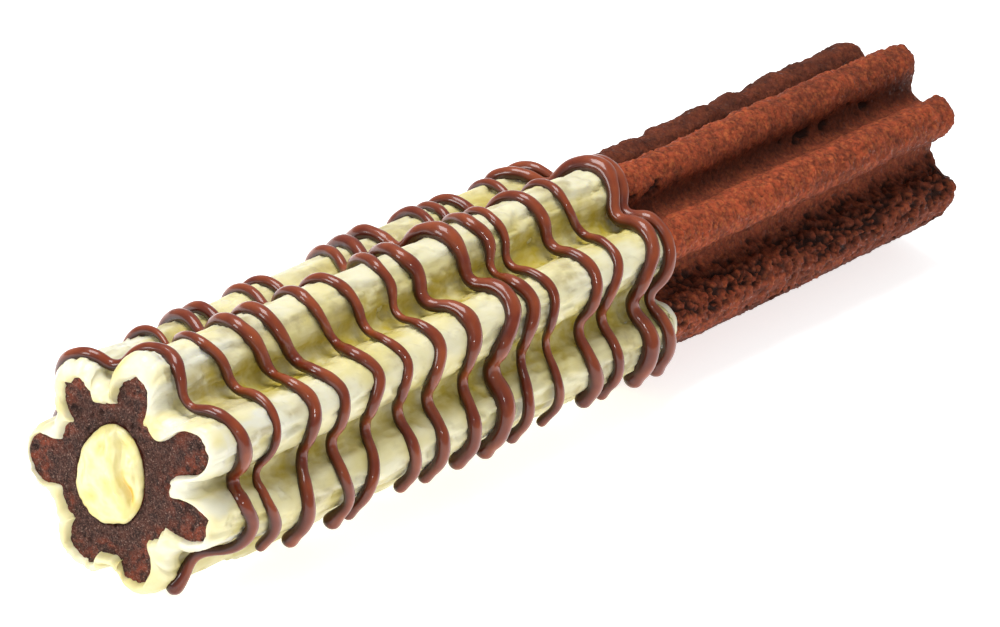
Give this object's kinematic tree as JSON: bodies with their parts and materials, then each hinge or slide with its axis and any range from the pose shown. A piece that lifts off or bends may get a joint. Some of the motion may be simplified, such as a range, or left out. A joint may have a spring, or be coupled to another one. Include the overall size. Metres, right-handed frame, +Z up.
{
  "type": "churro",
  "caption": "Ribbed chocolate churro filled with cream, lying on its side, its front part coated in white icing and drizzled with chocolate.",
  "frame": {"origin": "on the surface it rests on, under the middle of the churro's bounding box", "axes": "X along the churro, with the iced, cut end at -X and the bare end at +X; +Z up, through the top rib"},
  "size_m": [0.221, 0.041, 0.0376],
  "materials": {
    "dough": "matte",
    "filling": "satin",
    "icing": "satin",
    "drizzle": "gloss"
  },
  "bodies": {
    "root": {"dough": "dough", "filling": "filling", "icing": "icing"}
  },
  "joints": []
}
